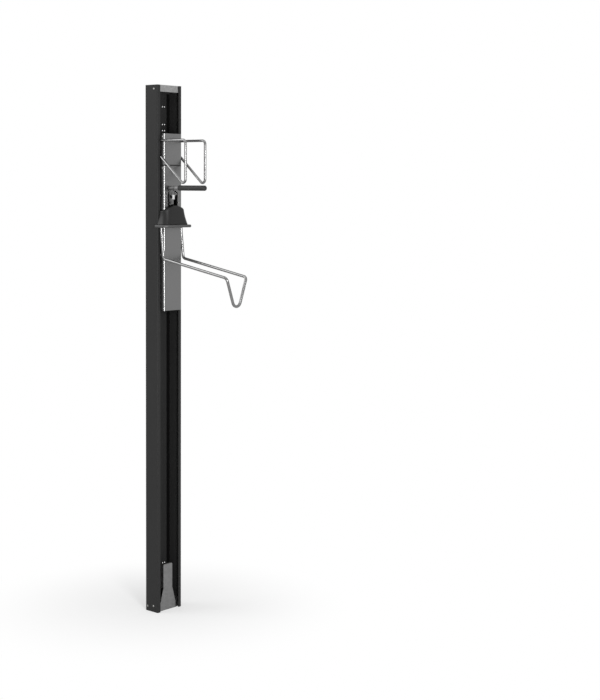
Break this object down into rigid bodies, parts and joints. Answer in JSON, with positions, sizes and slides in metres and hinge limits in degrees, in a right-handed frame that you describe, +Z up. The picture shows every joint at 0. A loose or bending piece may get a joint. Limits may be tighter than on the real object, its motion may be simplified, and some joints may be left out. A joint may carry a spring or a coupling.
{
  "type": "wall-mounted bike lift",
  "caption": "Wall column with a gas-sprung carriage that holds a bike by its front wheel: bent-rod cradle, wire side guides, tyre buffer and release lever.",
  "frame": {"origin": "on the column's wall face, on its centre line, at half its height", "axes": "+Z up along the column, -Y out from the wall, +X to the right when facing the wall"},
  "size_m": [0.136, 0.3905, 1.85],
  "materials": {
    "anthracite_coat": "fine satin anthracite powder coat",
    "silver_sheet": "satin metallic silver coat on sheet steel",
    "galvanised_sheet": "plain galvanised sheet",
    "dark_steel": "dark coated sheet steel",
    "bright_rod": "bright zinc plated round bar",
    "zinc_fastener": "zinc plated steel",
    "bearing_steel": "ground bearing steel",
    "chromed_rod": "hard chrome",
    "black_paint": "gloss black paint",
    "black_plastic": "matt black extruded plastic",
    "moulded_black": "fine grained black moulding",
    "grip_rubber": "matt black rubber sleeve",
    "brake_rubber": "matt black rubber",
    "roller_plastic": "natural nylon"
  },
  "bodies": {
    "column": {"column_profile": "anthracite_coat", "top_bracket": "silver_sheet", "foot_bracket": "galvanised_sheet", "top_screw_left": "zinc_fastener", "top_screw_right": "zinc_fastener", "foot_screw_left": "zinc_fastener", "foot_screw_right": "zinc_fastener", "foot_rear_screw_left": "zinc_fastener", "foot_rear_screw_right": "zinc_fastener", "track_strip_left": "black_plastic", "track_strip_right": "black_plastic", "gas_spring_rod": "chromed_rod", "rod_boss": "zinc_fastener"},
    "release_lever": {"lever_plate": "silver_sheet", "lever_rod": "bright_rod", "lever_grip": "grip_rubber", "brake_shoe": "brake_rubber"},
    "roller_upper_left": {"roller_upper_left": "roller_plastic", "bearing_upper_left": "bearing_steel"},
    "roller_upper_right": {"roller_upper_right": "roller_plastic", "bearing_upper_right": "bearing_steel"},
    "roller_lower_left": {"roller_lower_left": "roller_plastic", "bearing_lower_left": "bearing_steel"},
    "roller_lower_right": {"roller_lower_right": "roller_plastic", "bearing_lower_right": "bearing_steel"},
    "carriage": {"upper_cover": "silver_sheet", "main_cover": "silver_sheet", "buffer_plate": "silver_sheet", "chassis": "dark_steel", "side_guide_left": "bright_rod", "side_guide_right": "bright_rod", "wheel_cradle": "bright_rod", "lever_spring": "bright_rod", "spring_nut": "zinc_fastener", "lever_pin": "zinc_fastener", "upper_cover_rivet_left": "zinc_fastener", "upper_cover_rivet_right": "zinc_fastener", "middle_cover_rivet_left": "zinc_fastener", "middle_cover_rivet_right": "zinc_fastener", "lower_cover_rivet_left": "zinc_fastener", "lower_cover_rivet_right": "zinc_fastener", "window_screw_left": "zinc_fastener", "window_screw_right": "zinc_fastener", "buffer_screw_left": "zinc_fastener", "buffer_screw_right": "zinc_fastener", "axle_bolt_upper_left": "zinc_fastener", "axle_bolt_upper_right": "zinc_fastener", "axle_bolt_lower_left": "zinc_fastener", "axle_bolt_lower_right": "zinc_fastener", "axle_nut_upper_left": "zinc_fastener", "axle_nut_upper_right": "zinc_fastener", "axle_nut_lower_left": "zinc_fastener", "axle_nut_lower_right": "zinc_fastener", "gas_spring_cylinder": "black_paint", "tyre_buffer": "moulded_black"}
  },
  "joints": [
    {"name": "carriage_slide", "type": "slide", "parent": "column", "child": "carriage", "axis": [0, 0, 1], "range_m": [-0.76, 0], "stiffness_N_per_m": 60, "springref_m": 2.5},
    {"name": "lever_pivot", "type": "hinge", "parent": "carriage", "child": "release_lever", "pos_m": [0, -0.0657, 0.546], "axis": [1, 0, 0], "range_deg": [0, 12], "stiffness_Nm_per_rad": 3, "springref_deg": -17.19},
    {"name": "roller_upper_left_spin", "type": "hinge", "parent": "carriage", "child": "roller_upper_left", "pos_m": [-0.0485, -0.03235, 0.718], "axis": [1, 0, 0], "continuous": true},
    {"name": "roller_upper_right_spin", "type": "hinge", "parent": "carriage", "child": "roller_upper_right", "pos_m": [0.0485, -0.03235, 0.718], "axis": [1, 0, 0], "continuous": true},
    {"name": "roller_lower_left_spin", "type": "hinge", "parent": "carriage", "child": "roller_lower_left", "pos_m": [-0.0485, -0.03195, 0.184], "axis": [1, 0, 0], "continuous": true},
    {"name": "roller_lower_right_spin", "type": "hinge", "parent": "carriage", "child": "roller_lower_right", "pos_m": [0.0485, -0.03195, 0.184], "axis": [1, 0, 0], "continuous": true}
  ],
  "couplings": [
    {"joint": "roller_upper_left_spin", "follows": "carriage_slide", "rad_per_m": 37.244},
    {"joint": "roller_upper_right_spin", "follows": "carriage_slide", "rad_per_m": 37.244},
    {"joint": "roller_lower_left_spin", "follows": "carriage_slide", "rad_per_m": -37.244},
    {"joint": "roller_lower_right_spin", "follows": "carriage_slide", "rad_per_m": -37.244}
  ]
}
